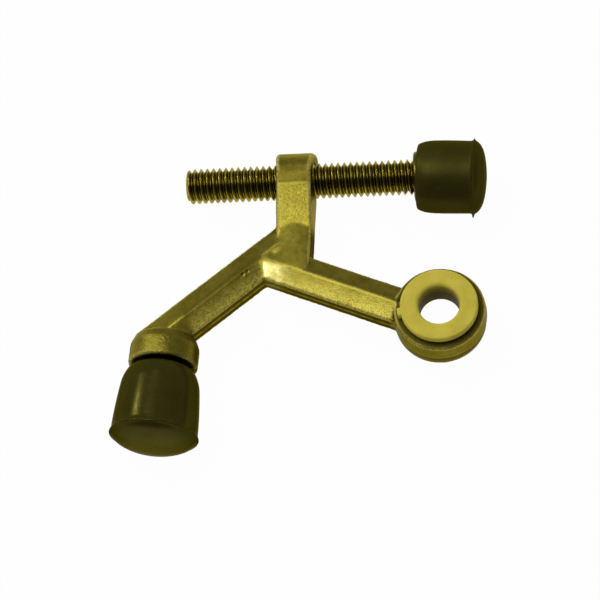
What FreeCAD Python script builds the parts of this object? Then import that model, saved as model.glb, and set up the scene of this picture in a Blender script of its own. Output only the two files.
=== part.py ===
"""Hinge pin door stop: a cast brass fork on the hinge pin, with a fixed bumper and an adjusting screw.

Millimetres. The origin is on the axis of the hinge pin bore, half way up the ring.
+Z runs along the pin, +X along the adjusting screw towards its rubber tip, and +Y away from the door.
The casting is the same above and below the plane Z = 0, where its two mould halves meet.
"""
import FreeCAD, Part
import math
import os
from FreeCAD import Placement, Rotation, Vector
import Sketcher

os.makedirs("parts", exist_ok=True)
doc = FreeCAD.newDocument("HingePinDoorStop")

# Driving dimensions, one cell each
sheet = doc.addObject("Spreadsheet::Sheet", "Dims")
CELLS = {
    # hinge pin ring and its bushing
    "ring_dia": 20.1,
    "ring_draft": 0.25,
    "ring_height": 6.8,
    "ring_edge": 0.4,
    "pin_bore_dia": 8.7,
    "pin_bore_entry": 0.5,
    "bush_barrel_dia": 12.7,
    "bush_flange_dia": 16.6,
    "bush_flange_thick": 1.6,
    "bush_flange_edge": 0.3,
    "bush_fit": 0.02,
    "bush_neck_dia": 14.8,
    "bush_neck_height": 0.7,
    "bush_relief_dia": 11.5,
    "bush_relief_depth": 2.6,
    "key_reach": 0.7,
    "key_root": 1.5,
    "key_width": 1.8,
    "key_angle": 190.0,
    # the two arms, which meet at the hub
    "hub_x": -38.8,
    "hub_y": 14.3,
    "arm_width": 8.4,
    "arm_wall": 4.15,
    "arm_ridge": 7.3,
    "ring_arm_miss": 1.69,
    "ring_arm_end": 7.2,
    "stop_arm_past_hub": 9.0,
    "stop_arm_in_boss": 5.0,
    # boss of the fixed bumper
    "stop_x": -59.45,
    "stop_y": -2.9,
    "stop_lean": 3.8,
    "stop_boss_dia": 15.1,
    "stop_boss_length": 7.2,
    "stop_boss_round": 2.8,
    "stop_boss_edge": 0.4,
    "peg_dia": 8.0,
    "peg_head_dia": 10.4,
    "peg_neck_length": 3.6,
    "peg_head_length": 2.6,
    "peg_length": 10.5,
    # post that carries the adjusting screw
    "post_x": -31.7,
    "post_width": 9.6,
    "post_draft": 1.05,
    "post_taper": 0.7,
    "post_crown": 0.5,
    "screw_y": 34.75,
    "screw_boss_dia": 12.8,
    "crease_angle": 60.0,
    "ramp_foot_y": 22.4,
    # adjusting screw, a 5/16 inch thread
    "screw_dia": 7.94,
    "screw_length": 63.5,
    "screw_left_x": -56.4,
    "screw_chamfer": 0.9,
    "screw_fit": 0.05,
    "screw_collar_x": -5.25,
    "screw_collar_dia": 11.2,
    "screw_collar_length": 2.4,
    "screw_collar_edge": 0.5,
    "stud_dia": 6.2,
    "stud_head_dia": 9.6,
    "stud_head_length": 2.6,
    # rubber tip on the adjusting screw
    "tip_mouth_x": -4.5,
    "tip_mouth_dia": 14.6,
    "tip_mouth_edge": 0.35,
    "tip_body_dia": 16.2,
    "tip_fin_x": 8.0,
    "tip_fin_dia": 18.1,
    "tip_fin_thick": 0.5,
    "tip_dome": 2.9,
    "tip_shoulder": 1.65,
    "tip_shoulder_dia": 15.65,
    "tip_dome_dia": 16.1,
    "tip_cheek": 1.35,
    "tip_cheek_dia": 14.4,
    "tip_nose": 2.4,
    "tip_nose_dia": 9.6,
    # fixed rubber bumper
    "bumper_gap": 1.0,
    "bumper_shoulder_dia": 14.7,
    "bumper_waist_dia": 17.2,
    "bumper_skirt_dia": 18.6,
    "bumper_lip_dia": 19.5,
    "bumper_lip_thick": 0.8,
    "bumper_length": 15.2,
    "bumper_edge": 0.4,
    "bumper_dome": 3.0,
    "bumper_waist_place": 4.2,
    "bumper_cheek": 0.9,
    "bumper_cheek_dia": 17.4,
    "bumper_nose": 2.3,
    "bumper_nose_dia": 10.8,
    "rubber_fit": 0.05,
}
DERIVED = {
    "hub_reach": "=sqrt(hub_x * hub_x + hub_y * hub_y)",
    "ring_arm_angle": "=atan(hub_y / hub_x) - asin(ring_arm_miss / hub_reach)",
    "ring_arm_length": "=sqrt(hub_reach * hub_reach - ring_arm_miss * ring_arm_miss) - ring_arm_end",
    "stop_arm_angle": "=atan((stop_y - hub_y) / (stop_x - hub_x))",
    "stop_arm_run": "=sqrt((stop_x - hub_x) * (stop_x - hub_x) + (stop_y - hub_y) * (stop_y - hub_y))",
}
for row, (alias, value) in enumerate(list(CELLS.items()) + list(DERIVED.items()), start=1):
    cell = "A%d" % row
    sheet.set(cell, str(value))
    sheet.setAlias(cell, alias)
doc.recompute()


def dim(alias):
    """Value of a cell as a plain number."""
    value = sheet.get(alias)
    return value.Value if hasattr(value, "Value") else float(value)


def new_body(label):
    """Empty PartDesign body whose label names its file."""
    body = doc.addObject("PartDesign::Body", label)
    body.Label = label
    return body


def origin_feature(body, role):
    """Origin plane or axis of a body, found by its role."""
    for feature in body.Origin.OriginFeatures:
        if feature.Role == role:
            return feature
    raise RuntimeError("no origin feature " + role)


def new_sketch(body, name, plane, base=(0, 0, 0), axis=(0, 0, 1), angle=0.0, binds=None):
    """Sketch on an origin plane, set off by base and turned about axis, bound to sheet formulas."""
    sketch = body.newObject("Sketcher::SketchObject", name)
    sketch.AttachmentSupport = [(origin_feature(body, plane), "")]
    sketch.MapMode = "FlatFace"
    sketch.AttachmentOffset = Placement(Vector(*base), Rotation(Vector(*axis), angle))
    for path, formula in (binds or {}).items():
        sketch.setExpression("AttachmentOffset." + path, formula)
    return sketch


def add_path(sketch, steps):
    """Closed outline of lines and arcs; a step is a point, or a point and a mid-point of an arc to it."""
    points = [Vector(step[0], step[1], 0) for step in steps]
    for index, point in enumerate(points):
        last = points[index - 1]
        step = steps[index]
        if len(step) == 4:
            middle = Vector(step[2], step[3], 0)
            sketch.addGeometry(Part.Arc(last, middle, point), False)
        else:
            sketch.addGeometry(Part.LineSegment(last, point), False)


def add_circle(sketch, diameter_alias, formula=None):
    """Full circle with its diameter bound to a cell."""
    radius = dim(diameter_alias) / 2
    index = sketch.addGeometry(Part.Circle(Vector(0, 0, 0), Vector(0, 0, 1), radius), False)
    constraint = sketch.addConstraint(Sketcher.Constraint("Diameter", index, radius * 2))
    sketch.setExpression("Constraints[%d]" % constraint, formula or "Dims." + diameter_alias)


def pad(body, name, sketch, formula, midplane=False, reverse=False):
    """Pad whose length is bound to a formula."""
    feature = body.newObject("PartDesign::Pad", name)
    feature.Profile = sketch
    feature.Midplane = midplane
    feature.Reversed = reverse
    feature.setExpression("Length", formula)
    return feature


def pocket_through(body, name, sketch):
    """Pocket through everything, both ways from its sketch."""
    feature = body.newObject("PartDesign::Pocket", name)
    feature.Profile = sketch
    feature.Type = "ThroughAll"
    feature.Midplane = True
    return feature


def revolve(body, name, sketch, axis="V_Axis"):
    """Full turn of a half profile about an axis of its sketch."""
    feature = body.newObject("PartDesign::Revolution", name)
    feature.Profile = sketch
    feature.ReferenceAxis = (sketch, [axis])
    feature.Angle = 360.0
    return feature


# Casting: ring, post, arms and boss in one piece
casting = new_body("stop_casting")

ring_top = dim("ring_height") / 2
ring_r = dim("ring_dia") / 2
face_r = ring_r - dim("ring_draft")
ring_edge = dim("ring_edge")
ring_profile = new_sketch(casting, "RingProfile", "XZ_Plane")
add_path(ring_profile, [
    (0.0, -ring_top),
    (face_r - ring_edge, -ring_top),
    (face_r, -ring_top + ring_edge),
    (ring_r, 0.0),
    (face_r, ring_top - ring_edge),
    (face_r - ring_edge, ring_top),
    (0.0, ring_top),
])
revolve(casting, "Ring", ring_profile)
doc.recompute()

# Side profile of the post: the boss round the screw, and the ramps that run down to the hub
boss_r = dim("screw_boss_dia") / 2
screw_y = dim("screw_y")
crease = math.radians(dim("crease_angle"))
crease_y = screw_y - boss_r * math.cos(crease)
crease_z = boss_r * math.sin(crease)
crown_z = dim("arm_ridge") / 2
foot_y = dim("ramp_foot_y")
ramp_slope = (crease_z - crown_z) / (crease_y - foot_y)
deep_y = dim("hub_y") + dim("arm_width") / 2
deep_z = crease_z - ramp_slope * (crease_y - deep_y)
profile = new_sketch(casting, "PostProfile", "YZ_Plane", binds={"Base.z": "Dims.post_x"})
add_path(profile, [
    (deep_y, -deep_z),
    (crease_y, -crease_z),
    (crease_y, crease_z, screw_y + boss_r, 0.0),
    (deep_y, deep_z),
])
post = pad(casting, "Post", profile, "Dims.post_width", midplane=True)
doc.recompute()

# Lower column of the post, crowned like the arms, down to the hub
half_width = dim("post_width") / 2
shoulder_z = crown_z - dim("post_crown")
column_section = new_sketch(
    casting, "ColumnSection", "XZ_Plane", base=(dim("post_x"), 0, 0), binds={"Base.x": "Dims.post_x"})
add_path(column_section, [
    (half_width, -shoulder_z, 0.0, -crown_z),
    (half_width, shoulder_z),
    (-half_width, shoulder_z, 0.0, crown_z),
    (-half_width, -shoulder_z),
])
pad(casting, "Column", column_section, "Dims.screw_y - Dims.screw_dia / 2", reverse=True)
column_foot = new_sketch(casting, "ColumnFoot", "XY_Plane")
foot_left = dim("post_x") - dim("post_width")
foot_right = dim("post_x") + dim("post_width")
arm_slope = math.tan(math.radians(dim("ring_arm_angle")))
arm_mid_y = dim("hub_y") + arm_slope * (dim("post_x") - dim("hub_x"))
foot_rise = arm_slope * dim("post_width")
add_path(column_foot, [
    (foot_left, -dim("post_width")),
    (foot_right, -dim("post_width")),
    (foot_right, arm_mid_y + foot_rise),
    (foot_left, arm_mid_y - foot_rise),
])
pocket_through(casting, "ColumnFootCut", column_foot)
doc.recompute()

# Flanks of the post: drafted both ways from the mould line, and drawn in towards the hub
draft = dim("post_draft")
wedge_top = boss_r + draft
wedge_width = 3 * draft
for side, side_name in ((-1, "Left"), (1, "Right")):
    edge_formula = "Dims.post_x %s Dims.post_width / 2" % ("-" if side < 0 else "+")
    turn_formula = "atan(Dims.post_taper / (Dims.screw_y - Dims.hub_y)) * %d" % side
    taper = math.degrees(math.atan(dim("post_taper") / (screw_y - dim("hub_y")))) * side
    flank = new_sketch(
        casting, side_name + "Flank", "XZ_Plane", base=(dim("post_x") + side * half_width, 0, -screw_y),
        axis=(0, 1, 0), angle=-taper,
        binds={"Base.x": edge_formula, "Base.z": "-Dims.screw_y", "Rotation.Angle": "-" + turn_formula})
    for half in (-1, 1):
        add_path(flank, [
            (0.0, 0.0),
            (side * wedge_width, 0.0),
            (side * wedge_width, half * wedge_top),
            (-side * draft * wedge_top / boss_r, half * wedge_top),
        ])
    pocket_through(casting, side_name + "Draft", flank)
doc.recompute()


def arm_section(sketch):
    """Section of an arm: upright walls with a low ridge above and below."""
    half = dim("arm_width") / 2
    wall = dim("arm_wall") / 2
    add_path(sketch, [
        (half, -wall),
        (half, wall),
        (0.0, crown_z),
        (-half, wall),
        (-half, -wall),
        (0.0, -crown_z),
    ])


hub_binds = {"Base.x": "Dims.hub_y", "Base.z": "Dims.hub_x"}
ring_arm_section = new_sketch(
    casting, "RingArmSection", "YZ_Plane", base=(dim("hub_y"), 0, dim("hub_x")), axis=(0, 1, 0),
    angle=dim("ring_arm_angle"), binds=dict(hub_binds, **{"Rotation.Angle": "Dims.ring_arm_angle"}))
arm_section(ring_arm_section)
pad(casting, "RingArm", ring_arm_section, "Dims.ring_arm_length")

stop_arm_section = new_sketch(
    casting, "StopArmSection", "YZ_Plane", base=(dim("hub_y"), 0, dim("hub_x")), axis=(0, 1, 0),
    angle=dim("stop_arm_angle"), binds=dict(hub_binds, **{"Rotation.Angle": "Dims.stop_arm_angle"}))
arm_section(stop_arm_section)
stop_arm = pad(casting, "StopArm", stop_arm_section, "Dims.stop_arm_run + Dims.stop_arm_in_boss")
stop_arm.Reversed = True
pad(casting, "StopArmUp", stop_arm_section, "Dims.stop_arm_past_hub")
doc.recompute()

# Boss of the fixed bumper, with the peg that the rubber is pushed onto
boss_binds = {"Base.x": "Dims.stop_x", "Base.y": "Dims.stop_y", "Rotation.Angle": "-Dims.stop_lean"}
boss_base = (dim("stop_x"), dim("stop_y"), 0)
stop_frame = dict(base=boss_base, axis=(0, 0, 1), angle=-dim("stop_lean"), binds=boss_binds)
stop_r = dim("stop_boss_dia") / 2
stop_round = dim("stop_boss_round")
rim_y = -dim("stop_boss_length")
peg_r = dim("peg_dia") / 2
peg_head_r = dim("peg_head_dia") / 2
peg_step = peg_head_r - peg_r
neck_end = rim_y - dim("peg_neck_length")
head_end = neck_end - dim("peg_head_length")
peg_end = rim_y - dim("peg_length")
boss_edge = dim("stop_boss_edge")
corner = 1 - math.sqrt(0.5)
boss_profile = new_sketch(casting, "BossProfile", "XY_Plane", **stop_frame)
add_path(boss_profile, [
    (0.0, 0.0),
    (stop_r - stop_round, 0.0),
    (stop_r - stop_round * corner, -stop_round * corner),
    (stop_r, -stop_round),
    (stop_r, rim_y + boss_edge),
    (stop_r - boss_edge, rim_y),
    (peg_r, rim_y),
    (peg_r, neck_end),
    (peg_head_r, neck_end),
    (peg_head_r, head_end + peg_step),
    (peg_r, head_end),
    (peg_r, peg_end),
    (0.0, peg_end),
])
revolve(casting, "StopBoss", boss_profile)

# Bore of the ring and the tapped hole of the post
bore_sketch = new_sketch(casting, "RingBoreSketch", "XY_Plane")
add_circle(bore_sketch, "bush_barrel_dia", formula="Dims.bush_barrel_dia + 2 * Dims.bush_fit")
pocket_through(casting, "RingBore", bore_sketch)
hole_sketch = new_sketch(
    casting, "ScrewHoleSketch", "YZ_Plane", base=(screw_y, 0, 0), binds={"Base.x": "Dims.screw_y"})
add_circle(hole_sketch, "screw_dia", formula="Dims.screw_dia + 2 * Dims.screw_fit")
pocket_through(casting, "ScrewHole", hole_sketch)

# Bushing: a flanged sleeve pushed down into the ring, with a key on its flange
bushing = new_body("pin_bushing")
flange_low = ring_top + dim("bush_neck_height")
flange_top = flange_low + dim("bush_flange_thick")
bore_r = dim("pin_bore_dia") / 2
barrel_r = dim("bush_barrel_dia") / 2
neck_r = dim("bush_neck_dia") / 2
flange_r = dim("bush_flange_dia") / 2
relief_r = dim("bush_relief_dia") / 2
relief_top = dim("bush_relief_depth") - ring_top
entry = dim("pin_bore_entry")
edge = dim("bush_flange_edge")
bush_profile = new_sketch(bushing, "BushingProfile", "XZ_Plane")
add_path(bush_profile, [
    (bore_r, relief_top),
    (bore_r, flange_top - entry),
    (bore_r + entry, flange_top),
    (flange_r - edge, flange_top),
    (flange_r, flange_top - edge),
    (flange_r, flange_low),
    (neck_r, flange_low),
    (neck_r, ring_top),
    (barrel_r, ring_top),
    (barrel_r, -ring_top),
    (relief_r, -ring_top),
])
revolve(bushing, "Sleeve", bush_profile)
key_sketch = new_sketch(
    bushing, "KeySketch", "XY_Plane", base=(0, 0, flange_low), axis=(0, 0, 1), angle=dim("key_angle"),
    binds={"Base.z": "Dims.ring_height / 2 + Dims.bush_neck_height", "Rotation.Angle": "Dims.key_angle"})
key_half = dim("key_width") / 2
key_start = flange_r - dim("key_root")
key_end = flange_r + dim("key_reach")
add_path(key_sketch, [
    (key_start, -key_half),
    (key_end, -key_half),
    (key_end, key_half),
    (key_start, key_half),
])
pad(bushing, "Key", key_sketch, "Dims.bush_flange_thick")

# Adjusting screw: a rod with a collar and a stud that holds the rubber tip
screw = new_body("adjusting_screw")
screw_frame = dict(base=(0, screw_y, 0), binds={"Base.y": "Dims.screw_y"})
screw_r = dim("screw_dia") / 2
left_x = dim("screw_left_x")
right_x = left_x + dim("screw_length")
chamfer = dim("screw_chamfer")
collar_x = dim("screw_collar_x")
collar_end = collar_x + dim("screw_collar_length")
collar_r = dim("screw_collar_dia") / 2
collar_edge = dim("screw_collar_edge")
stud_r = dim("stud_dia") / 2
stud_head_r = dim("stud_head_dia") / 2
stud_head_x = right_x - dim("stud_head_length")
screw_profile = new_sketch(screw, "ScrewProfile", "XY_Plane", **screw_frame)
add_path(screw_profile, [
    (left_x, 0.0),
    (left_x, screw_r - chamfer),
    (left_x + chamfer, screw_r),
    (collar_x, screw_r),
    (collar_x, collar_r - collar_edge),
    (collar_x + collar_edge, collar_r),
    (collar_end, collar_r),
    (collar_end, stud_r),
    (stud_head_x, stud_r),
    (stud_head_x, stud_head_r),
    (right_x, stud_head_r),
    (right_x, 0.0),
])
revolve(screw, "Rod", screw_profile, axis="H_Axis")

# Rubber tip, moulded round a cavity that fits the collar and the stud
tip = new_body("screw_rubber_tip")
fit = dim("rubber_fit")
mouth_x = dim("tip_mouth_x")
mouth_r = dim("tip_mouth_dia") / 2
body_r = dim("tip_body_dia") / 2
fin_x = dim("tip_fin_x")
fin_r = dim("tip_fin_dia") / 2
fin_half = dim("tip_fin_thick") / 2
dome_x = fin_x + dim("tip_dome")
dome_r = dim("tip_dome_dia") / 2
shoulder_x = mouth_x + dim("tip_shoulder")
tip_shoulder_r = dim("tip_shoulder_dia") / 2
cheek_x = fin_x + dim("tip_cheek")
cheek_r = dim("tip_cheek_dia") / 2
nose_x = fin_x + dim("tip_nose")
nose_r = dim("tip_nose_dia") / 2
lip = dim("tip_mouth_edge")
tip_profile = new_sketch(tip, "TipProfile", "XY_Plane", **screw_frame)
add_path(tip_profile, [
    (mouth_x, collar_r + fit),
    (mouth_x, mouth_r - lip),
    (mouth_x + lip, mouth_r),
    (shoulder_x, tip_shoulder_r),
    (fin_x - 2 * fin_half, body_r),
    (fin_x - fin_half / 2, fin_r),
    (fin_x + fin_half / 2, fin_r),
    (fin_x + 2 * fin_half, dome_r),
    (cheek_x, cheek_r),
    (nose_x, nose_r),
    (dome_x, 0.0),
    (right_x + fit, 0.0),
    (right_x + fit, stud_head_r + fit),
    (stud_head_x - fit, stud_head_r + fit),
    (stud_head_x - fit, stud_r + fit),
    (collar_end + fit, stud_r + fit),
    (collar_end + fit, collar_r + fit),
])
revolve(tip, "TipRubber", tip_profile, axis="H_Axis")

# Fixed bumper, a larger moulding on the peg of the boss
bumper = new_body("fixed_rubber_bumper")
shoulder_y = rim_y - dim("bumper_gap")
shoulder_r = dim("bumper_shoulder_dia") / 2
waist_r = dim("bumper_waist_dia") / 2
skirt_r = dim("bumper_skirt_dia") / 2
lip_r = dim("bumper_lip_dia") / 2
lip_y = shoulder_y - dim("bumper_length")
waist_y = shoulder_y - dim("bumper_waist_place")
lip_thick = dim("bumper_lip_thick")
end_y = lip_y - dim("bumper_dome")
bumper_edge = dim("bumper_edge")
cheek_y = lip_y - dim("bumper_cheek")
bumper_cheek_r = dim("bumper_cheek_dia") / 2
nose_y = lip_y - dim("bumper_nose")
bumper_nose_r = dim("bumper_nose_dia") / 2
bumper_profile = new_sketch(bumper, "BumperProfile", "XY_Plane", **stop_frame)
add_path(bumper_profile, [
    (peg_r + fit, shoulder_y),
    (shoulder_r - bumper_edge, shoulder_y),
    (shoulder_r, shoulder_y - bumper_edge),
    (waist_r, waist_y),
    (skirt_r, lip_y + lip_thick),
    (lip_r, lip_y + lip_thick / 2),
    (lip_r, lip_y),
    (bumper_cheek_r, cheek_y),
    (bumper_nose_r, nose_y),
    (0.0, end_y),
    (0.0, peg_end - fit),
    (peg_r + fit, peg_end - fit),
    (peg_r + fit, head_end),
    (peg_head_r + fit, head_end + peg_step),
    (peg_head_r + fit, neck_end + fit),
    (peg_r + fit, neck_end + fit),
])
revolve(bumper, "BumperRubber", bumper_profile)

# Every object is computed and sound before its shape is written
doc.recompute()
for item in doc.Objects:
    if "Invalid" in item.State or "Error" in item.State:
        raise RuntimeError("%s has failed: %s" % (item.Name, item.State))
for body in (casting, bushing, screw, tip, bumper):
    shape = body.Shape
    if shape.isNull() or not shape.isValid() or len(shape.Solids) != 1:
        raise RuntimeError(body.Label + " is not one sound solid")
    shape.exportStep("parts/%s.step" % body.Label)
    box = shape.BoundBox
    print("%-22s %9.1f mm3  x %.1f..%.1f  y %.1f..%.1f  z %.1f..%.1f" % (
        body.Label, shape.Volume, box.XMin, box.XMax, box.YMin, box.YMax, box.ZMin, box.ZMax))
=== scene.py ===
"""Looks of the hinge pin door stop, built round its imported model. Metres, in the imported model's frame."""
import math
from collections import namedtuple

import bmesh
import bpy
import numpy as np
from mathutils import Matrix, Vector, noise


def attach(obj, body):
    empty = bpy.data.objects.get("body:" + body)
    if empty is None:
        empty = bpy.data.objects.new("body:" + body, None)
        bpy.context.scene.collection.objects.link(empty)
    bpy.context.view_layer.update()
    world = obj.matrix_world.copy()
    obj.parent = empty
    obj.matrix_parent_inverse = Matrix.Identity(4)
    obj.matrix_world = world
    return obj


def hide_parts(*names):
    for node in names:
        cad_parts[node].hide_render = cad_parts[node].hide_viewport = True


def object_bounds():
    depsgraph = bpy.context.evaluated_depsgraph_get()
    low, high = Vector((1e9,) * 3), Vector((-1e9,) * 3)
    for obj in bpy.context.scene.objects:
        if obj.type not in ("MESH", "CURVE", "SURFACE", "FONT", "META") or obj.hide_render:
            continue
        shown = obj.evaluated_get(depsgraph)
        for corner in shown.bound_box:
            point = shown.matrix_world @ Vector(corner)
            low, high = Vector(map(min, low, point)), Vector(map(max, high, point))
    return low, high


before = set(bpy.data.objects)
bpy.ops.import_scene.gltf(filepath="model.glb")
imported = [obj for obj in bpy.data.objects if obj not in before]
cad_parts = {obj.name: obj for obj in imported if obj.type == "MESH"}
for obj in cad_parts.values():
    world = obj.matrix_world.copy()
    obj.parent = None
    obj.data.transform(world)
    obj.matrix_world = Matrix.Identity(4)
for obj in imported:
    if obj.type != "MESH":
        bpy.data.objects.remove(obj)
cad_low, cad_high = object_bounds()
MM = 0.001
PER_METRE = 1000.0
scene = bpy.context.scene
scene.view_settings.view_transform = "Standard"

# Sizes in millimetres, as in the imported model
SCREW_Y = 34.75
SCREW_R = 3.97
PITCH = 25.4 / 18
THREAD_DEPTH = 0.86
CREST_AT = 0.254
ROD_LEFT = -56.4
COLLAR_X = -5.25
COLLAR_END = -2.85
COLLAR_R = 5.6
STUD_R = 3.1
STUD_HEAD_X = 4.5
STUD_HEAD_R = 4.8
STUD_CHAMFER = 0.9
ROD_RIGHT = 7.1
PIN = (0.0, 0.0)
HUB = (-38.8, 14.3)
BOSS = (-59.45, -2.9)
POST_X = -31.7
CREASE_Y = 31.55
RAMP_FOOT_Y = 22.4
RING_EDGE = (10.4, 10.8)
BORE_R = 4.35
SLEEVE_R = 6.35
FLANGE_R = 8.3
PEG_R = 4.0
PEG_HEAD_R = 5.2
PEG_END = 17.7
FIT = 0.05

# Details of the casting that only its looks have, in millimetres
VOXEL = 0.248
# RIM_R, RIM_Z and RIM_WIDTH place a painted highlight line along the ring's rim
RIM_R = 9.68
RIM_Z = 3.22
RIM_WIDTH = 0.2
SEAM_WIDTH = 0.28
SEAM_HEIGHT = 0.07
PITS = ((-42.64, 10.10, 0.42), (-41.62, 10.84, 0.35))
PIT_DEPTH = 0.16
BLEND_AT = (-37.2, 17.0, 0.0)
BLEND_SQUASH = (1.0, 0.9, 0.0)

# Smoothing of the casting: the share of one move, and the rounds for each part
RELAX = 0.5
ROUNDS_ALL = 3
ROUNDS_POST = 13
ROUNDS_CROWN = 26
ROUNDS_HUB = 42
ROUNDS_COMPARED = 18

# Unevenness of the casting, as height in millimetres, waves a millimetre and seed
FACE_GRAIN = ((0.035, 0.22, 3.1), (0.012, 0.9, 7.7))
EDGE_GRAIN = ((0.05, 0.8, 5.5), (0.045, 2.1, 9.2))

# An arm of the casting: its tip, the sign of its near side, the painted light on its near facet by the ridge
# and at the edge, the painted shade on its far facet, how much painted shade its ridge gets, and how far
# short of the tip it stops
Arm = namedtuple("Arm", "tip near_sign by_ridge at_edge far_facet ridge_dark stop")
RIGHT_ARM = Arm(PIN, -1, 0.0, 0.75, -0.02, 0.15, 9.0)
LEFT_ARM = Arm(BOSS, 1, 0.25, 0.95, -0.10, 0.75, 6.0)
RIDGE_WIDTH = 0.7

# Sides of the turned pieces, and of a rounded corner in their profiles
TURNS = 160
ROD_TURNS = 72
CORNER_STEPS = 6


# Meshes

def new_object(name, verts, faces, body, nodes, layers=None):
    """Mesh object that rides on a body and stands for the named nodes; layers are values of its vertices."""
    mesh = bpy.data.meshes.new(name)
    mesh.from_pydata(verts, [], faces)
    for layer_name, values in (layers or {}).items():
        layer = mesh.attributes.new(layer_name, "FLOAT", "POINT")
        layer.data.foreach_set("value", values.astype(np.float32))
    mesh.validate()
    work = bmesh.new()
    work.from_mesh(mesh)
    bmesh.ops.remove_doubles(work, verts=work.verts, dist=1e-7)
    bmesh.ops.dissolve_degenerate(work, edges=work.edges, dist=1e-7)
    bmesh.ops.recalc_face_normals(work, faces=work.faces)
    work.to_mesh(mesh)
    work.free()
    for polygon in mesh.polygons:
        polygon.use_smooth = True
    piece = bpy.data.objects.new(name, mesh)
    scene.collection.objects.link(piece)
    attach(piece, body)
    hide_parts(*nodes)
    return piece


def clamp(value, low=0.0, high=1.0):
    """Value held between two ends."""
    return min(max(value, low), high)


def store(piece, name, value):
    """Stores a value at each vertex of a piece, found from the vertex's place in metres."""
    layer = piece.data.attributes.new(name, "FLOAT", "POINT")
    for i, vert in enumerate(piece.data.vertices):
        layer.data[i].value = value(vert.co)


def rounded(points):
    """Closed profile whose corners are rounded; a point is (along, radius, corner radius)."""
    out = []
    count = len(points)
    for i, (a, r, corner) in enumerate(points):
        here = Vector((a, r))
        if corner <= 0:
            out.append((a, r))
            continue
        before = Vector(points[i - 1][:2]) - here
        after = Vector(points[(i + 1) % count][:2]) - here
        half = before.angle(after) / 2
        reach = min(corner / math.tan(half), before.length * 0.49, after.length * 0.49)
        radius = reach * math.tan(half)
        start = here + before.normalized() * reach
        end = here + after.normalized() * reach
        centre = here + (before.normalized() + after.normalized()).normalized() * (radius / math.sin(half))
        for k in range(CORNER_STEPS + 1):
            spoke = (start - centre).lerp(end - centre, k / CORNER_STEPS)
            out.append(tuple(centre + spoke.normalized() * radius))
    return out


def lathe(profile, place, turns, uneven=None):
    """Closed profile of (along, radius) turned about the first axis of place.

    uneven(along, radius, angle) is added to the radius.
    """
    verts = []
    faces = []
    count = len(profile)
    for k in range(turns):
        angle = 2 * math.pi * k / turns
        for along, radius in profile:
            more = uneven(along, radius, angle) if uneven else 0.0
            r = max(radius + more, 0.0) if radius > 0 else 0.0
            verts.append(place @ Vector((along, r * math.cos(angle), r * math.sin(angle))) * MM)
    for k in range(turns):
        here = k * count
        there = ((k + 1) % turns) * count
        for j in range(count):
            nxt = (j + 1) % count
            faces.append((here + j, here + nxt, there + nxt, there + j))
    return verts, faces


def arc_points(start, end, height, steps):
    """Points of an arc from start to end, without its start, that stands out by height on its left."""
    start = Vector(start)
    end = Vector(end)
    chord = end - start
    side = Vector((-chord.y, chord.x)).normalized()
    out = []
    for k in range(1, steps + 1):
        t = k / steps
        out.append(tuple(start + chord * t + side * (height * 4 * t * (1 - t))))
    return out


def grain(point, scale, seed):
    """Smooth noise from -1 to 1 at a point in millimetres."""
    return noise.noise(Vector(point) * scale + Vector((seed, seed * 1.7, seed * 0.3)))


def grain_round(angle, spread, along, seed):
    """Smooth noise round a turned piece, that closes on itself after a turn."""
    return grain((math.cos(angle) * spread, math.sin(angle) * spread, along), 1.0, seed)


# Casting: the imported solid, resampled so that its edges soften as a casting's do

def cast_skin(node, voxel):
    """Evenly meshed copy of a node, as arrays of vertices in millimetres and faces."""
    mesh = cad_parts[node].data.copy()
    source = bpy.data.objects.new("resample", mesh)
    scene.collection.objects.link(source)
    work = bmesh.new()
    work.from_mesh(mesh)
    bmesh.ops.remove_doubles(work, verts=work.verts, dist=1e-6)
    for vert in work.verts:
        vert.co *= PER_METRE
    work.to_mesh(mesh)
    work.free()
    remesh = source.modifiers.new("remesh", "REMESH")
    remesh.mode = "VOXEL"
    remesh.voxel_size = voxel
    bpy.context.view_layer.update()
    made = bpy.data.meshes.new_from_object(source.evaluated_get(bpy.context.evaluated_depsgraph_get()))
    verts = np.zeros(len(made.vertices) * 3)
    made.vertices.foreach_get("co", verts)
    faces = [tuple(p.vertices) for p in made.polygons]
    bpy.data.objects.remove(source)
    bpy.data.meshes.remove(mesh)
    bpy.data.meshes.remove(made)
    return verts.reshape(-1, 3), faces


def face_normals(verts, faces):
    """Area-weighted vertex normals of a mesh of quads and triangles."""
    quads = np.array([f if len(f) == 4 else (f[0], f[1], f[2], f[2]) for f in faces])
    a, b, c, d = (verts[quads[:, i]] for i in range(4))
    cross = np.cross(c - a, d - b)
    out = np.zeros_like(verts)
    for i in range(4):
        np.add.at(out, quads[:, i], cross)
    return out / np.maximum(np.linalg.norm(out, axis=1, keepdims=True), 1e-12)


def relax(verts, edges, weight, rounds):
    """Moves each vertex towards the mean of its neighbours by its weight, several times."""
    degree = np.bincount(edges.ravel(), minlength=len(verts)).astype(float)[:, None]
    weight = np.broadcast_to(np.asarray(weight, float), (len(verts),))[:, None]
    for _ in range(rounds):
        total = np.zeros_like(verts)
        for axis in range(3):
            total[:, axis] = (np.bincount(edges[:, 0], verts[edges[:, 1], axis], len(verts))
                              + np.bincount(edges[:, 1], verts[edges[:, 0], axis], len(verts)))
        verts = verts + weight * (total / degree - verts)
    return verts


def edge_pairs(faces):
    """Every edge of the faces once."""
    pairs = set()
    for face in faces:
        for i, v in enumerate(face):
            w = face[i - 1]
            pairs.add((v, w) if v < w else (w, v))
    return np.array(sorted(pairs))


def smoothstep(value, low, high):
    """0 below low, 1 above high and a soft step between."""
    t = np.clip((value - low) / (high - low), 0, 1)
    return t * t * (3 - 2 * t)


def pin_distance(verts):
    """Distance of each vertex from the axis of the hinge pin."""
    return np.hypot(verts[:, 0], verts[:, 1])


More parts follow.
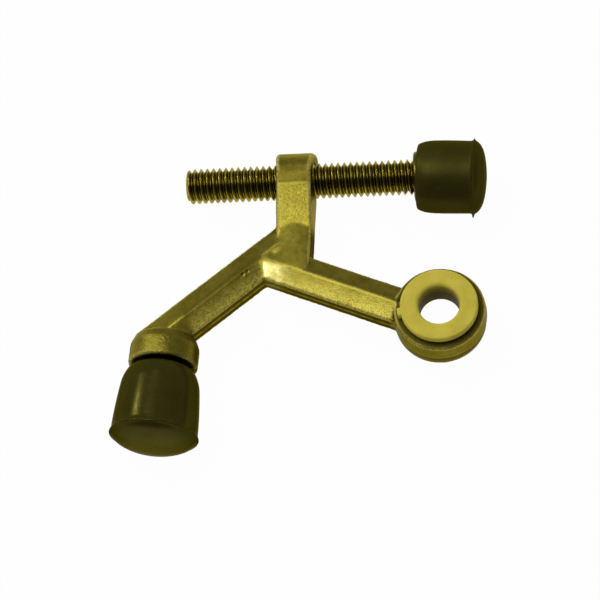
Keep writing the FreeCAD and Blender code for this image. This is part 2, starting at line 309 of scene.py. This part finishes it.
def along_arm(verts, arm):
    """Distance along an arm from the hub, distance across it to its near side, and that side's direction."""
    reach = np.array(arm.tip) - np.array(HUB)
    way = reach / np.linalg.norm(reach)
    near = arm.near_sign * np.array([-way[1], way[0]])
    from_hub = verts[:, :2] - np.array(HUB)
    return from_hub @ way, from_hub @ near, near


def facing_arms(verts, normals):
    """How far each normal leans to the near side of each arm."""
    return {arm: normals[:, :2] @ along_arm(verts, arm)[2] for arm in (RIGHT_ARM, LEFT_ARM)}


def casting_light_and_shade(verts, normals):
    """Painted light (1) and painted shade (-1) over each part of the casting."""
    y = verts[:, 1]
    upright = smoothstep(np.abs(normals[:, 2]), 0.72, 0.86)
    below_post = 1 - smoothstep(y, RAMP_FOOT_Y - 0.4, RAMP_FOOT_Y + 0.2)
    ramp = (1 - below_post) * (1 - smoothstep(y, CREASE_Y - 0.25, CREASE_Y + 0.2))
    screw_boss = smoothstep(y, CREASE_Y - 0.2, CREASE_Y + 0.3)
    # Painted shade: a little on the ramp, and on the screw boss, most in the band of it that would mirror the
    # overhead lamp
    lamp_facing_band = smoothstep(normals[:, 1], -0.45, -0.28) * (1 - smoothstep(normals[:, 1], -0.08, 0.08))
    light_and_shade = -0.12 * ramp * upright - screw_boss * (0.08 + 0.40 * lamp_facing_band)
    facing = facing_arms(verts, normals)
    # Painted light on the near facet of each arm, rising towards its edge, and painted shade on its far facet
    # and along its ridge
    for arm, other in ((RIGHT_ARM, LEFT_ARM), (LEFT_ARM, RIGHT_ARM)):
        t, s, _ = along_arm(verts, arm)
        end = math.dist(arm.tip, HUB) - arm.stop
        on_arm = smoothstep(t, -1.5, 1.0) * (1 - smoothstep(t, end, end + 1.5)) * below_post * upright
        on_near = smoothstep(facing[arm], 0.12, 0.26) * smoothstep(facing[arm] - facing[other], -0.04, 0.06)
        on_far = smoothstep(-facing[arm], 0.12, 0.26)
        rise = arm.by_ridge + (arm.at_edge - arm.by_ridge) * smoothstep(s, 0.6, 4.4) ** 1.5
        light_and_shade = light_and_shade + on_arm * (on_near * rise + arm.far_facet * on_far)
        light_and_shade = light_and_shade - on_arm * arm.ridge_dark * np.exp(-(s / RIDGE_WIDTH) ** 2)
    # Painted shadow of the flange on the ring's top face round the bushing
    flange_shadow = (1 - smoothstep(pin_distance(verts), 9.2, 9.4)) * smoothstep(np.abs(verts[:, 2]), 3.1, 3.3)
    return np.clip(light_and_shade - 0.9 * flange_shadow, -1, 1)


def casting_painted_glare(verts, normals):
    """Where the near facet of the right arm, next to the hub, gets a painted glare."""
    facing = facing_arms(verts, normals)
    t, s, _ = along_arm(verts, RIGHT_ARM)
    facet = smoothstep(facing[RIGHT_ARM], 0.15, 0.26)
    facet = facet * smoothstep(facing[RIGHT_ARM] - facing[LEFT_ARM], 0.0, 0.12)
    return facet * smoothstep(s, 0.2, 2.0) * (1 - smoothstep(t, 1.5, 9.5)) * smoothstep(t, -3, -1)


def soften(verts, edges):
    """Rounds the corners: a little everywhere, more on the sides of the post and most at its crown."""
    soft = relax(verts, edges, RELAX, ROUNDS_ALL)
    sides = smoothstep(np.abs(soft[:, 0] - POST_X), 3.4, 4.2)
    soft = relax(soft, edges, RELAX * sides * smoothstep(soft[:, 1], 20.0, 24.0), ROUNDS_POST)
    return relax(soft, edges, RELAX * sides * smoothstep(soft[:, 1], 36.5, 39.0), ROUNDS_CROWN)


def worn_lit_edges(soft, wide, normals, on_boss, on_ramp):
    """How worn and lit each outer corner is: wear with painted highlights, a painted highlight line along the
    ring's rim and painted highlights on the ramp's corners; corners stand out of wide, the smoother shape.
    """
    edge = smoothstep(((soft - wide) * normals).sum(1), 0.03, 0.12)
    ridge = smoothstep(np.abs(normals[:, 2]), 0.95, 0.985) * (1 - smoothstep(soft[:, 1], 19.0, 21.0))
    edge *= 1 - ridge * np.where(soft[:, 0] < HUB[0], 1.0, 0.5)
    edge *= 1 - on_boss * (0.35 + 0.55 * smoothstep(soft[:, 0], -60.5, -56.5))
    from_pin = pin_distance(soft)
    # Along the ring's rim a thin painted highlight line takes the place of the wear
    rim = (1 - smoothstep(from_pin, *RING_EDGE)) * smoothstep(from_pin, 8.6, 9.0)
    rim_highlight = np.exp(-((from_pin - RIM_R) ** 2 + (np.abs(soft[:, 2]) - RIM_Z) ** 2) / RIM_WIDTH ** 2)
    edge = edge * (1 - rim) + rim * rim_highlight
    # Painted highlights on the corners of the ramp
    corner = smoothstep(np.abs(normals[:, 0]), 0.12, 0.40) * smoothstep(np.abs(normals[:, 2]), 0.30, 0.60)
    return np.maximum(edge, corner * on_ramp)


def casting_pits(verts):
    """Depth of the small pits, as a share of the deepest, on the upper side only."""
    pit = np.zeros(len(verts))
    for x, y, radius in PITS:
        away = np.hypot(verts[:, 0] - x, verts[:, 1] - y)
        pit = np.maximum(pit, (1 - smoothstep(away, 0.2 * radius, radius)) * (verts[:, 2] > 0))
    return pit


def build_casting():
    """Casting with soft edges, a faint uneven surface, a parting seam on its walls and two small pits."""
    verts, faces = cast_skin("stop_casting", VOXEL)
    edges = edge_pairs(faces)
    soft = soften(verts, edges)
    normals = face_normals(soft, faces)
    on_boss = smoothstep(-soft[:, 0], 50.5, 52.0) * (1 - smoothstep(soft[:, 1], -3.9, -2.5))
    on_ramp = smoothstep(soft[:, 1], RAMP_FOOT_Y, RAMP_FOOT_Y + 1.0)
    on_ramp = on_ramp * (1 - smoothstep(soft[:, 1], CREASE_Y - 1.0, CREASE_Y))
    edge = worn_lit_edges(soft, relax(soft, edges, RELAX, ROUNDS_COMPARED), normals, on_boss, on_ramp)

    from_blend = np.linalg.norm((soft - np.array(BLEND_AT)) * np.array(BLEND_SQUASH), axis=1)
    hub = (1 - smoothstep(from_blend, 3.0, 7.5)) * smoothstep(np.abs(normals[:, 2]), 0.45, 0.8)
    verts = relax(soft, edges, RELAX * hub, ROUNDS_HUB)
    normals = face_normals(verts, faces)

    from_pin = pin_distance(verts)
    # Painted shade on the walls, less on the post's lit right flank and less on the ring's wall
    wall_shade = 1 - smoothstep(np.abs(normals[:, 2]), 0.25, 0.6)
    wall_shade *= 1 - 0.8 * smoothstep(verts[:, 1], 19.0, 23.0)
    wall_shade *= 0.45 + 0.55 * smoothstep(from_pin, 10.2, 11.2)
    seam = wall_shade * np.exp(-(verts[:, 2] / SEAM_WIDTH) ** 2)
    pit = casting_pits(verts)
    # Painted shade on the lower half of the ring's outer wall
    lower_wall_shade = (1 - smoothstep(from_pin, *RING_EDGE)) * smoothstep(-verts[:, 2], -0.2, 0.5)
    lower_wall_shade = lower_wall_shade * smoothstep(from_pin, 9.8, 10.0)
    # Painted shade in the pits; the bumper's boss a little darker all over
    light_and_shade = casting_light_and_shade(verts, normals) - 0.8 * pit - 0.25 * on_boss - 0.75 * lower_wall_shade
    # Layers: painted shade on the walls, worn edges with painted highlights, the seam, painted light and
    # shade, a painted glare, and where coarse bumps go
    layers = {
        "wall_shade": wall_shade, "edge": edge, "seam": seam, "light_and_shade": np.clip(light_and_shade, -1, 1),
        "painted_glare": casting_painted_glare(verts, normals), "coarse": np.maximum(on_boss, 0.6 * on_ramp)}

    from_rod = np.hypot(verts[:, 1] - SCREW_Y, verts[:, 2])
    by_post = np.abs(verts[:, 0] - POST_X) < 6
    clear_of_holes = smoothstep(from_pin, 6.6, 7.4) * np.where(by_post, smoothstep(from_rod, 4.2, 5.0), 1)
    moved = SEAM_HEIGHT * seam - PIT_DEPTH * pit
    for i, co in enumerate(verts):
        moved[i] += (sum(height * grain(co, scale, seed) for height, scale, seed in FACE_GRAIN)
                     + edge[i] * sum(height * grain(co, scale, seed) for height, scale, seed in EDGE_GRAIN))
    verts = verts + normals * (moved * clear_of_holes)[:, None]
    placed = [tuple(v * MM) for v in verts]
    return new_object("casting_skin", placed, faces, "fork", ["stop_casting"], layers)


# Bushing of the ring

def build_bushing():
    """Flanged sleeve with a soft entry and the key that stops it turning."""
    profile = rounded([
        (-0.8, BORE_R, 0.4), (1.4, BORE_R, 0), (2.6, BORE_R, 0), (3.7, BORE_R, 0), (5.7, BORE_R, 0.95),
        (5.7, FLANGE_R, 0.42), (4.1, FLANGE_R, 0.12), (4.1, 7.4, 0.1), (3.4, 7.4, 0), (3.4, SLEEVE_R, 0),
        (-3.4, SLEEVE_R, 0.15), (-3.4, 5.75, 0.1)])
    upright = Matrix(((0, 1, 0, 0), (0, 0, 1, 0), (1, 0, 0, 0), (0, 0, 0, 1)))
    verts, faces = lathe(profile, upright, TURNS)
    key = bmesh.new()
    bmesh.ops.create_cube(key, size=1.0)
    bmesh.ops.scale(key, vec=(2.18, 1.8, 1.58), verts=key.verts)
    bmesh.ops.bevel(key, geom=list(key.edges), offset=0.16, segments=3, profile=0.5, affect="EDGES")
    key_place = Matrix.Rotation(math.radians(190), 4, "Z") @ Matrix.Translation((7.9, 0, 4.9))
    base = len(verts)
    verts += [key_place @ v.co * MM for v in key.verts]
    faces += [tuple(base + v.index for v in f.verts) for f in key.faces]
    key.free()
    piece = new_object("bushing_sleeve", verts, faces, "fork", ["pin_bushing"])

    def bore_shade(co):
        """Painted shade down the bore: how far down in it a place is."""
        inside = math.hypot(co.x, co.y) < 5.2 * MM
        return clamp((5.5 - co.z / MM) / 3.2, 0.0, 0.9) if inside else 0.0

    store(piece, "bore_shade", bore_shade)
    return piece


# Adjusting screw with its thread

# Profile of one turn of the thread, as shares of the pitch and depths below the crest
THREAD_SHAPE = ((0.0, 0.0), (0.05, 0.012), (0.09, 0.07), (0.24, 0.43), (0.40, 0.79), (0.45, 0.85),
                (0.5, THREAD_DEPTH), (0.55, 0.85), (0.60, 0.79), (0.76, 0.43), (0.91, 0.07), (0.95, 0.012))
END_ROUND = 0.95


def thread_mesh():
    """Right-hand thread as one helical surface, cut off by the rod's rounded end and by the collar."""
    per_turn = len(THREAD_SHAPE)
    first = int((ROD_LEFT - CREST_AT) / PITCH) - 3
    last = int((COLLAR_X - CREST_AT) / PITCH) + 2
    rows = (last - first) * per_turn
    verts = []
    for row in range(rows + 1):
        turn, step = divmod(row, per_turn)
        place, depth = THREAD_SHAPE[step]
        for k in range(ROD_TURNS):
            angle = 2 * math.pi * k / ROD_TURNS
            x = clamp(CREST_AT + PITCH * (first + turn + place + k / ROD_TURNS), ROD_LEFT, COLLAR_X)
            from_end = min(x - ROD_LEFT, 1.0)
            end_radius = SCREW_R - END_ROUND + math.sqrt(max(0.0, 1 - (1 - from_end) ** 2)) * END_ROUND
            radius = min(SCREW_R - depth, end_radius)
            verts.append(Vector((x, SCREW_Y + radius * math.cos(angle), radius * math.sin(angle))) * MM)
    faces = []
    for row in range(rows):
        for k in range(ROD_TURNS):
            a = row * ROD_TURNS + k
            if k < ROD_TURNS - 1:
                b = a + 1
            elif row + per_turn + 1 <= rows:
                b = (row + per_turn) * ROD_TURNS
            else:
                continue
            faces.append((a, b, b + ROD_TURNS, a + ROD_TURNS))
    return verts, faces


def build_screw():
    """Threaded rod, then the collar and the stud inside the rubber."""
    verts, faces = thread_mesh()
    core = SCREW_R - THREAD_DEPTH - 0.05
    core_end = COLLAR_X - 0.2
    rod_core = rounded([
        (ROD_LEFT, 0.0, 0), (ROD_LEFT, SCREW_R - 0.93, 0), (ROD_LEFT + 0.05, SCREW_R - 0.94, 0),
        (ROD_LEFT + 0.06, core - 0.3, 0), (core_end, core, 0), (core_end, 0.0, 0)])
    collar_and_stud = rounded([
        (COLLAR_X, 0.0, 0), (COLLAR_X, COLLAR_R, 0.5), (COLLAR_END, COLLAR_R, 0.1), (COLLAR_END, STUD_R, 0),
        (STUD_HEAD_X, STUD_R, 0), (STUD_HEAD_X, STUD_HEAD_R, 0.1),
        (ROD_RIGHT - STUD_CHAMFER, STUD_HEAD_R, 0.1), (ROD_RIGHT, STUD_HEAD_R - STUD_CHAMFER, 0.1),
        (ROD_RIGHT, 0.0, 0)])
    for profile in (rod_core, collar_and_stud):
        more, quads = lathe(profile, Matrix.Translation((0, SCREW_Y, 0)), ROD_TURNS)
        base = len(verts)
        verts += more
        faces += [tuple(base + v for v in f) for f in quads]
    piece = new_object("threaded_rod", verts, faces, "screw", ["adjusting_screw"])

    def root(co):
        """How deep in the thread a place is; the collar counts as a deep place, and is as dark."""
        x = co.x / MM
        if x > COLLAR_X - 0.1:
            return 0.85
        if x > ROD_LEFT + 0.3:
            return clamp((SCREW_R - math.hypot(co.y / MM - SCREW_Y, co.z / MM)) / THREAD_DEPTH)
        return 0.0

    store(piece, "root", root)
    return piece


# Rubber tip of the screw

def build_tip():
    """Moulded tip that hangs a little off its rod, with a thin uneven fin where its mould halves met."""
    mouth, fin = -4.5, 8.0
    outer = [(mouth + a, r) for a, r in (
        (0.0, COLLAR_R + FIT), (0.0, 6.85), (0.05, 7.08), (0.18, 7.26), (0.45, 7.42), (0.9, 7.6),
        (1.7, 7.86), (2.6, 8.0), (3.6, 8.09), (6.0, 8.14), (9.0, 8.12))]
    outer += [(fin + a, r) for a, r in (
        (-0.9, 8.08), (-0.45, 8.12), (-0.22, 8.35), (-0.1, 8.62), (-0.03, 8.8), (0.03, 8.8), (0.12, 8.6),
        (0.25, 8.3), (0.5, 8.05), (0.8, 7.86), (1.1, 7.6), (1.4, 7.26), (1.7, 6.78), (2.0, 6.15),
        (2.25, 5.4), (2.45, 4.55), (2.62, 3.5), (2.75, 2.3), (2.83, 1.2), (2.85, 0.0))]
    inner = [
        (ROD_RIGHT + FIT, 0.0), (ROD_RIGHT + FIT, STUD_HEAD_R - STUD_CHAMFER),
        (ROD_RIGHT - STUD_CHAMFER + FIT, STUD_HEAD_R + FIT), (STUD_HEAD_X - FIT, STUD_HEAD_R + FIT),
        (STUD_HEAD_X - FIT, STUD_R + FIT), (COLLAR_END + FIT, STUD_R + FIT),
        (COLLAR_END + FIT, COLLAR_R + FIT)]
    droop = math.radians(3.7)

    def uneven(along, radius, angle):
        """Waves of the outside, and of the fin, which stands out most on its lower side."""
        if radius <= 6:
            return 0.0
        more = 0.05 * grain_round(angle, 2.2, along * 0.15, 2.4)
        if radius > 8.5 and abs(along - fin) < 0.3:
            more += 0.12 * grain_round(angle, 5, 0, 8.1) - 0.28 * math.cos(angle)
        return more

    verts, faces = lathe(outer + inner, Matrix.Identity(4), TURNS, uneven)
    outside = len(outer)
    count = len(outer) + len(inner)
    placed = []
    for i, co in enumerate(verts):
        x, y, z = co / MM
        if 0 < i % count < outside:
            x, y = (mouth + (x - mouth) * math.cos(droop) + y * math.sin(droop),
                    y * math.cos(droop) - (x - mouth) * math.sin(droop))
        placed.append(Vector((x, y + SCREW_Y, z)) * MM)
    piece = new_object("tip_rubber_moulding", placed, faces, "rubber_tip",
                       ["screw_rubber_tip"])
    store(piece, "end", lambda co: clamp((co.x / MM - fin - 0.4) / 2.2))
    return piece


# Rubber of the fixed bumper

def build_bumper():
    """Larger moulding that flares to a thin lip above its rounded end."""
    start, lip = 8.2, 23.4
    shoulder = (start + 0.5, 7.35)
    flank = (start + 4.2, 8.58)
    outer = [(start, PEG_R + FIT), (start, 6.7), (start + 0.07, 6.98), (start + 0.22, 7.18), shoulder]
    outer += arc_points(shoulder, flank, 0.22, 8)
    outer += arc_points(flank, (lip - 0.95, 9.26), 0.1, 14)
    outer += [(lip + a, r) for a, r in (
        (-0.6, 9.36), (-0.3, 9.56), (-0.12, 9.62), (0.0, 9.6), (0.08, 9.45), (0.22, 9.15), (0.5, 8.85),
        (0.9, 8.4), (1.3, 7.75), (1.7, 6.95), (2.05, 5.9), (2.4, 4.6), (2.65, 3.2), (2.8, 1.7), (2.85, 0.0))]
    inner = [
        (PEG_END + FIT, 0.0), (PEG_END + FIT, 3.4), (17.1, PEG_R + FIT), (14.6, PEG_R + FIT),
        (13.4, PEG_HEAD_R + FIT), (10.75, PEG_HEAD_R + FIT), (10.75, PEG_R + FIT)]

    def uneven(along, radius, angle):
        """Waves of the outside and of the lip."""
        if radius <= 6:
            return 0.0
        more = 0.06 * grain_round(angle, 1.6, along * 0.12, 4.4)
        if radius > 9.5:
            more += 0.07 * grain_round(angle, 4, 0, 6.1) - 0.05
        return more

    lean = Matrix.Rotation(math.radians(-3.8), 4, "Z")
    down = Matrix(((0, 1, 0, 0), (-1, 0, 0, 0), (0, 0, 1, 0), (0, 0, 0, 1)))
    place = Matrix.Translation((*BOSS, 0)) @ lean @ down
    verts, faces = lathe(outer + inner, place, TURNS, uneven)
    piece = new_object("bumper_rubber_moulding", verts, faces, "fork",
                       ["fixed_rubber_bumper"])
    inverse = place.inverted()
    # The end colour starts a little past the lip, which leaves painted shade under the lip, and grows towards
    # the end as painted light
    store(piece, "end", lambda co: clamp(((inverse @ (co / MM)).x - lip - 0.7) / 2.1))
    return piece


# Materials

class Nodes:
    """Short hand for the nodes of one material."""

    def __init__(self, name):
        self.material = bpy.data.materials.new(name)
        self.material.use_nodes = True
        self.tree = self.material.node_tree
        self.shader = self.tree.nodes["Principled BSDF"]
        self.place = None

    def add(self, kind, **settings):
        node = self.tree.nodes.new(kind)
        for key, value in settings.items():
            setattr(node, key, value)
        return node

    def link(self, source, target):
        self.tree.links.new(source, target)

    def noise(self, scale, detail, rough=0.55):
        """Noise of a number of features a metre."""
        if self.place is None:
            self.place = self.add("ShaderNodeTexCoord").outputs["Object"]
        node = self.add("ShaderNodeTexNoise")
        node.inputs["Scale"].default_value = scale
        node.inputs["Detail"].default_value = detail
        node.inputs["Roughness"].default_value = rough
        self.link(self.place, node.inputs["Vector"])
        return node.outputs["Fac"]

    def ramp(self, value, low, high, to_low=0.0, to_high=1.0):
        """Value mapped from one range to another, held at its ends."""
        node = self.add("ShaderNodeMapRange")
        for key, number in (("From Min", low), ("From Max", high), ("To Min", to_low), ("To Max", to_high)):
            node.inputs[key].default_value = number
        self.link(value, node.inputs["Value"])
        return node.outputs["Result"]

    def math(self, operation, a, b):
        """Sum, product or maximum of two numbers or sockets."""
        node = self.add("ShaderNodeMath", operation=operation)
        for index, value in enumerate((a, b)):
            if isinstance(value, (int, float)):
                node.inputs[index].default_value = value
            else:
                self.link(value, node.inputs[index])
        return node.outputs[0]

    def mix(self, factor, a, b):
        """Colour mix of two colours or sockets."""
        node = self.add("ShaderNodeMix", data_type="RGBA")
        self.link(factor, node.inputs["Factor"])
        for name, value in (("A", a), ("B", b)):
            socket = [s for s in node.inputs if s.name == name and s.type == "RGBA"][0]
            if isinstance(value, tuple):
                socket.default_value = value + (1.0,)
            else:
                self.link(value, socket)
        return [s for s in node.outputs if s.type == "RGBA"][0]

    def attribute(self, name):
        """Value stored at the vertices."""
        return self.add("ShaderNodeAttribute", attribute_name=name).outputs["Fac"]

    def bump(self, height, strength, distance, after=None):
        """Normal tilted by a height, on top of the bump before it."""
        node = self.add("ShaderNodeBump")
        node.inputs["Strength"].default_value = strength
        node.inputs["Distance"].default_value = distance
        self.link(height, node.inputs["Height"])
        if after:
            self.link(after, node.inputs["Normal"])
        return node.outputs["Normal"]

    def fix(self, **values):
        """Sets constants on the shader's own sockets."""
        for name, value in values.items():
            self.shader.inputs[name.replace("_", " ")].default_value = value

    def finish(self, colour, rough, normal, **fixed):
        """Connects the shader and sets the rest of its sockets."""
        self.link(colour, self.shader.inputs["Base Color"])
        self.link(rough, self.shader.inputs["Roughness"])
        self.link(normal, self.shader.inputs["Normal"])
        self.fix(**fixed)
        return self.material


def cast_brass():
    """Brass as cast, with a fine grain, cloudy tone and stains, painted light and shade over its facets,
    painted shade on its walls, a painted glare by the hub, and worn edges with painted highlights.
    """
    n = Nodes("cast_brass")
    cloud = n.noise(150, 4.0)
    patch = n.noise(560, 5.0, 0.6)
    stain = n.noise(830, 4.0, 0.6)
    fine = n.noise(2400, 5.0, 0.65)
    speck = n.noise(4200, 3.0, 0.7)
    edge = n.attribute("edge")
    wall_shade = n.attribute("wall_shade")
    # Painted light (above 0) and painted shade (below 0) over the casting
    painted_light = n.ramp(n.attribute("light_and_shade"), 0.0, 1.0)
    dark = n.ramp(n.attribute("light_and_shade"), 0.0, -1.0)
    grainy_painted_light = n.math("MULTIPLY", painted_light, n.ramp(fine, 0.40, 0.58, 0.22, 1.0))
    painted_glare = n.math("MULTIPLY", n.attribute("painted_glare"), n.ramp(patch, 0.36, 0.60, 0.25, 0.95))
    seam = n.math("MULTIPLY", n.attribute("seam"), n.ramp(patch, 0.35, 0.6, 0.2, 0.7))
    worn_and_lit = n.math("MULTIPLY", edge, n.ramp(fine, 0.35, 0.62, 0.2, 1.0))
    colour = n.mix(n.ramp(cloud, 0.35, 0.68), (0.200, 0.163, 0.019), (0.290, 0.242, 0.030))
    colour = n.mix(n.ramp(patch, 0.50, 0.72, 0.0, 0.4), colour, (0.36, 0.31, 0.048))
    colour = n.mix(n.ramp(stain, 0.50, 0.68, 0.0, 0.38), colour, (0.11, 0.088, 0.011))
    # Painted shade
    colour = n.mix(dark, colour, (0.070, 0.055, 0.008))
    # Painted light on the lit facets, broken up by the grain
    colour = n.mix(grainy_painted_light, colour, (0.72, 0.62, 0.11))
    # Painted glare on the right arm's near facet, by the hub
    colour = n.mix(painted_glare, colour, (1.0, 0.90, 0.36))
    colour = n.mix(n.ramp(speck, 0.56, 0.70, 0.0, 0.45), colour, (0.10, 0.080, 0.010))
    # Painted shade on the walls
    colour = n.mix(n.math("MULTIPLY", wall_shade, 0.85), colour, (0.045, 0.036, 0.005))
    colour = n.mix(seam, colour, (0.42, 0.35, 0.06))
    # Worn edges and painted highlights
    colour = n.mix(worn_and_lit, colour, (0.88, 0.77, 0.20))
    rough = n.math("ADD", n.ramp(fine, 0.3, 0.7, 0.26, 0.40), n.math("MULTIPLY", painted_light, 0.10))
    rough = n.math("ADD", rough, n.math("MULTIPLY", edge, 0.45))
    rough = n.math("ADD", rough, n.math("MULTIPLY", dark, 0.25))
    # Duller, greyer reflections on the walls, as part of their painted shade
    tint = n.mix(wall_shade, (0.80, 0.75, 0.52), (0.40, 0.37, 0.34))
    n.link(tint, n.shader.inputs["Specular Tint"])
    pebbles = n.math("MULTIPLY", n.noise(1500, 3.0, 0.6), n.attribute("coarse"))
    normal = n.bump(pebbles, 0.55, 0.00025)
    normal = n.bump(patch, 0.30, 0.00012, normal)
    normal = n.bump(fine, 0.35, 0.00005, normal)
    return n.finish(colour, rough, normal, Metallic=1.0)


def screw_brass():
    """Brass of the rod, darker down in its thread and on its collar, with a painted highlight along the
    bottom of the thread.
    """
    n = Nodes("screw_brass")
    cloud = n.noise(320, 4.0)
    patch = n.noise(900, 4.0, 0.6)
    fine = n.noise(2600, 4.0, 0.6)
    root = n.attribute("root")
    deep_darkening = n.math("MULTIPLY", n.ramp(root, 0.25, 0.80), n.ramp(patch, 0.30, 0.6, 0.7, 1.0))
    colour = n.mix(n.ramp(cloud, 0.35, 0.68), (0.25, 0.204, 0.026), (0.42, 0.353, 0.052))
    colour = n.mix(deep_darkening, colour, (0.095, 0.076, 0.014))
    # Painted highlight along the bottom of the thread
    colour = n.mix(n.ramp(root, 0.93, 0.99, 0.0, 0.55), colour, (0.26, 0.21, 0.028))
    rough = n.math("ADD", n.ramp(fine, 0.3, 0.7, 0.13, 0.24), n.math("MULTIPLY", root, 0.10))
    normal = n.bump(patch, 0.3, 0.00006)
    normal = n.bump(fine, 0.3, 0.00003, normal)
    return n.finish(colour, rough, normal, Metallic=1.0, Specular_Tint=(0.80, 0.74, 0.50, 1.0))


def bushing_plastic():
    """Matte moulded plastic with a faint mottle, specks of grime and painted shade down its bore."""
    n = Nodes("bushing_plastic")
    cloud = n.noise(260, 4.0)
    fine = n.noise(1900, 5.0, 0.6)
    colour = n.mix(n.ramp(cloud, 0.35, 0.7), (0.74, 0.62, 0.078), (0.88, 0.74, 0.105))
    colour = n.mix(n.ramp(fine, 0.58, 0.75, 0.0, 0.35), colour, (0.42, 0.345, 0.045))
    # Painted shade down the bore
    colour = n.mix(n.attribute("bore_shade"), colour, (0.13, 0.105, 0.013))
    rough = n.ramp(fine, 0.3, 0.7, 0.45, 0.6)
    normal = n.bump(fine, 0.25, 0.00004)
    return n.finish(colour, rough, normal, Specular_IOR_Level=0.04, Specular_Tint=(1.0, 0.9, 0.35, 1.0))


def rubber(name, dark, light, end, gloss):
    """Moulded rubber: nearly black, with a dusty bloom, a fine matte skin and a colour of its own towards the
    end, which on the bumper is painted light.
    """
    n = Nodes(name)
    cloud = n.noise(110, 4.0)
    dust = n.noise(900, 6.0, 0.65)
    fine = n.noise(3200, 4.0, 0.6)
    dusty = tuple(min(1.0, 2.1 * v) for v in light)
    at_end = n.math("MULTIPLY", n.attribute("end"), n.ramp(cloud, 0.3, 0.7, 0.6, 1.0))
    colour = n.mix(n.ramp(cloud, 0.35, 0.7), dark, light)
    colour = n.mix(n.ramp(dust, 0.60, 0.80, 0.0, 0.35), colour, dusty)
    # The end colour, which on the bumper is painted light on its end face
    colour = n.mix(at_end, colour, end)
    rough = n.ramp(dust, 0.3, 0.7, gloss, gloss + 0.10)
    normal = n.bump(dust, 0.10, 0.00008)
    normal = n.bump(fine, 0.20, 0.00003, normal)
    tint = (0.50, 0.46, 0.28, 1.0)
    return n.finish(colour, rough, normal, Metallic=0.45, Specular_IOR_Level=0.0, Specular_Tint=tint)


def coat(piece, material):
    """Gives a piece one material."""
    piece.data.materials.clear()
    piece.data.materials.append(material)


casting = build_casting()
bushing = build_bushing()
rod = build_screw()
tip = build_tip()
bumper = build_bumper()
coat(casting, cast_brass())
coat(bushing, bushing_plastic())
coat(rod, screw_brass())
coat(tip, rubber("tip_rubber", dark=(0.054, 0.0475, 0.0090), light=(0.067, 0.059, 0.0112),
                 end=(0.062, 0.054, 0.0105), gloss=0.38))
# The bumper's end colour is painted light on its end face
coat(bumper, rubber("bumper_rubber", dark=(0.049, 0.0430, 0.0080), light=(0.064, 0.0563, 0.0104),
                    end=(0.135, 0.118, 0.034), gloss=0.20))


# Floor, light and camera

def build_floor():
    """Plain pale floor just under the part, white to the camera but still shaded by it."""
    half_size = 1.5
    gap = 0.00005
    glow_share = 0.98
    low = cad_low[2] - gap
    mesh = bpy.data.meshes.new("floor")
    corners = [(-half_size, -half_size, low), (half_size, -half_size, low),
               (half_size, half_size, low), (-half_size, half_size, low)]
    mesh.from_pydata(corners, [], [(0, 1, 2, 3)])
    floor = bpy.data.objects.new("floor", mesh)
    scene.collection.objects.link(floor)
    n = Nodes("floor_white")
    n.fix(Base_Color=(0.86, 0.86, 0.86, 1.0), Roughness=0.9, Specular_IOR_Level=0.1)
    path = n.add("ShaderNodeLightPath").outputs
    seen = n.math("MAXIMUM", path["Is Camera Ray"], path["Is Glossy Ray"])
    seen = n.math("MAXIMUM", seen, path["Is Transmission Ray"])
    glow = n.add("ShaderNodeEmission")
    glow.inputs["Color"].default_value = (1, 1, 1, 1)
    glow.inputs["Strength"].default_value = 1.0
    blend = n.add("ShaderNodeMixShader")
    n.link(n.math("MULTIPLY", seen, glow_share), blend.inputs[0])
    n.link(n.shader.outputs[0], blend.inputs[1])
    n.link(glow.outputs[0], blend.inputs[2])
    n.link(blend.outputs[0], n.tree.nodes["Material Output"].inputs["Surface"])
    mesh.materials.append(n.material)


def build_world():
    """Surroundings that are pale along the horizon, dim overhead in front and less dim behind."""
    world = bpy.data.worlds.new("studio")
    scene.world = world
    world.use_nodes = True
    tree = world.node_tree
    background = tree.nodes["Background"]
    place = tree.nodes.new("ShaderNodeTexCoord")
    split = tree.nodes.new("ShaderNodeSeparateXYZ")
    tree.links.new(place.outputs["Generated"], split.inputs[0])
    strength = tree.nodes.new("ShaderNodeMath")
    strength.operation = "ADD"
    behind = ("Y", (-0.6, 0.6, 0.06, 0.36))
    horizon = ("Z", (0.42, 0.20, 0.0, 0.15))
    for index, (axis, spread) in enumerate((behind, horizon)):
        node = tree.nodes.new("ShaderNodeMapRange")
        node.interpolation_type = "SMOOTHSTEP"
        for key, value in zip(("From Min", "From Max", "To Min", "To Max"), spread):
            node.inputs[key].default_value = value
        tree.links.new(split.outputs[axis], node.inputs["Value"])
        tree.links.new(node.outputs["Result"], strength.inputs[index])
    tree.links.new(strength.outputs[0], background.inputs["Strength"])
    background.inputs["Color"].default_value = (1, 1, 1, 1)


def area_light(name, place, target, width, height, radiance):
    """Soft box with a plain radiance, aimed at a point."""
    lamp = bpy.data.lights.new(name, "AREA")
    lamp.shape = "RECTANGLE"
    lamp.size = width
    lamp.size_y = height
    lamp.energy = radiance * math.pi * width * height
    light = bpy.data.objects.new(name, lamp)
    scene.collection.objects.link(light)
    light.location = place
    light.rotation_euler = (Vector(target) - Vector(place)).to_track_quat("-Z", "Y").to_euler()


build_floor()
build_world()
middle = (-0.03, 0.012, 0.0)
area_light("overhead", (-0.160, 0.045, 0.52), middle, 0.30, 0.24, 4.2)
area_light("left_window", (-0.44, 0.27, 0.38), middle, 0.035, 0.12, 40.0)
area_light("behind", (-0.10, 0.42, 0.50), middle, 0.14, 0.12, 1.2)

lens = bpy.data.cameras.new("view")
lens.lens = 112.2
lens.sensor_width = 36.0
lens.clip_start = 0.01
lens.clip_end = 10.0
view = bpy.data.objects.new("view", lens)
scene.collection.objects.link(view)
right = Vector((0.992595, 0.018831, -0.12))
up = Vector((0.037475, 0.892242, 0.45))
back = Vector((0.115543, -0.451165, 0.884929))
turn = Matrix((right, up, back)).transposed().to_4x4()
view.matrix_world = Matrix.Translation(Vector((16.6126, -178.4756, 359.9154)) * MM) @ turn
scene.camera = view
